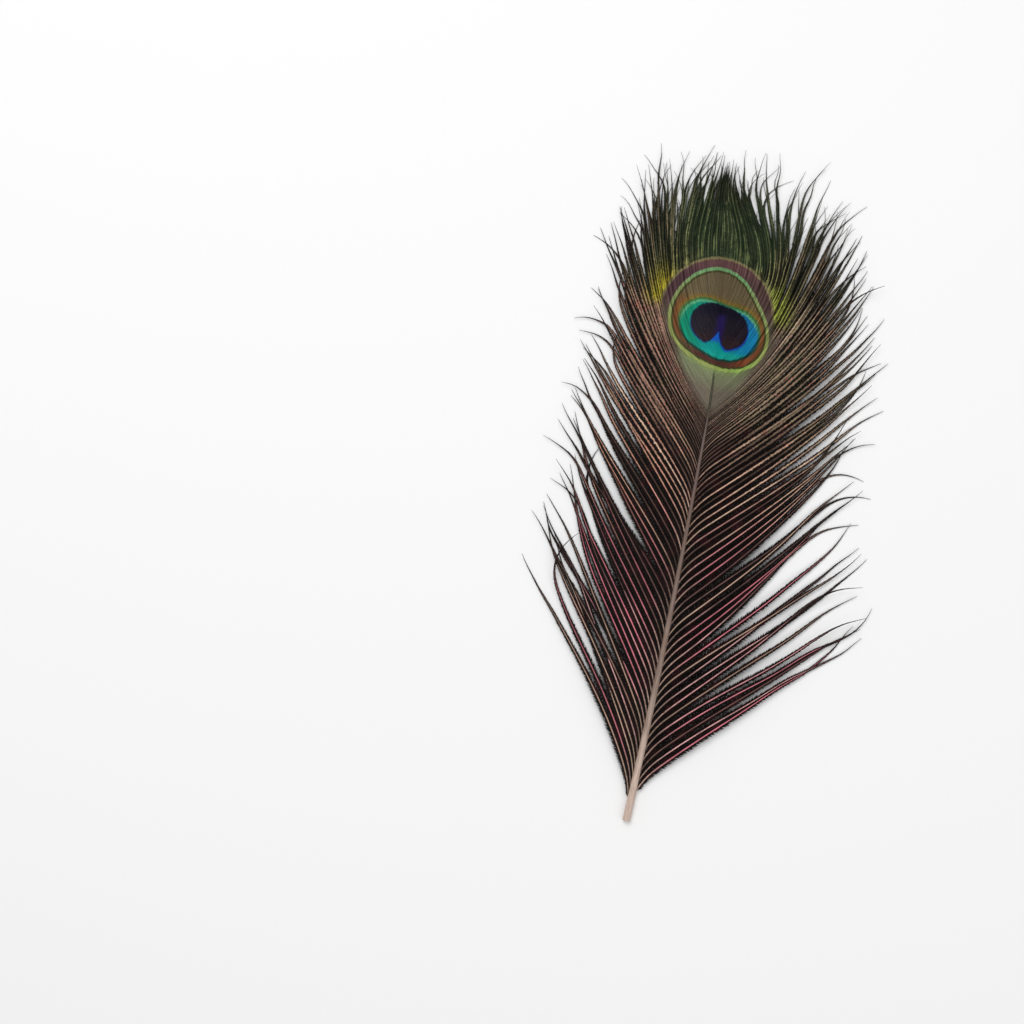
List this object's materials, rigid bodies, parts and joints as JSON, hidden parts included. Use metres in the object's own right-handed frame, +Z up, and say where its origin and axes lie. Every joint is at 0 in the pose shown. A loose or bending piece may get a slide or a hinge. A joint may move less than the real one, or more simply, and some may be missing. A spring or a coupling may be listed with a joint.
{
  "type": "peacock feather",
  "caption": "Cut peacock tail feather with a full eye, lying face up: a bare-ended shaft and two loose vanes of long barbs.",
  "frame": {"origin": "middle of the feather's box as seen from above, on the surface that it lies on", "axes": "+Y from the cut end of the shaft to the crown of the feather, +X to the right vane with the face up, +Z up out of the face"},
  "size_m": [0.1558, 0.2959, 0.0059],
  "materials": {
    "shaft": "dry keratin, satin",
    "barbs": "iridescent feather fibres with an eye of bronze, turquoise and violet"
  },
  "bodies": {
    "root": {"shaft": "shaft", "left_vane": "barbs", "right_vane": "barbs"}
  },
  "joints": []
}
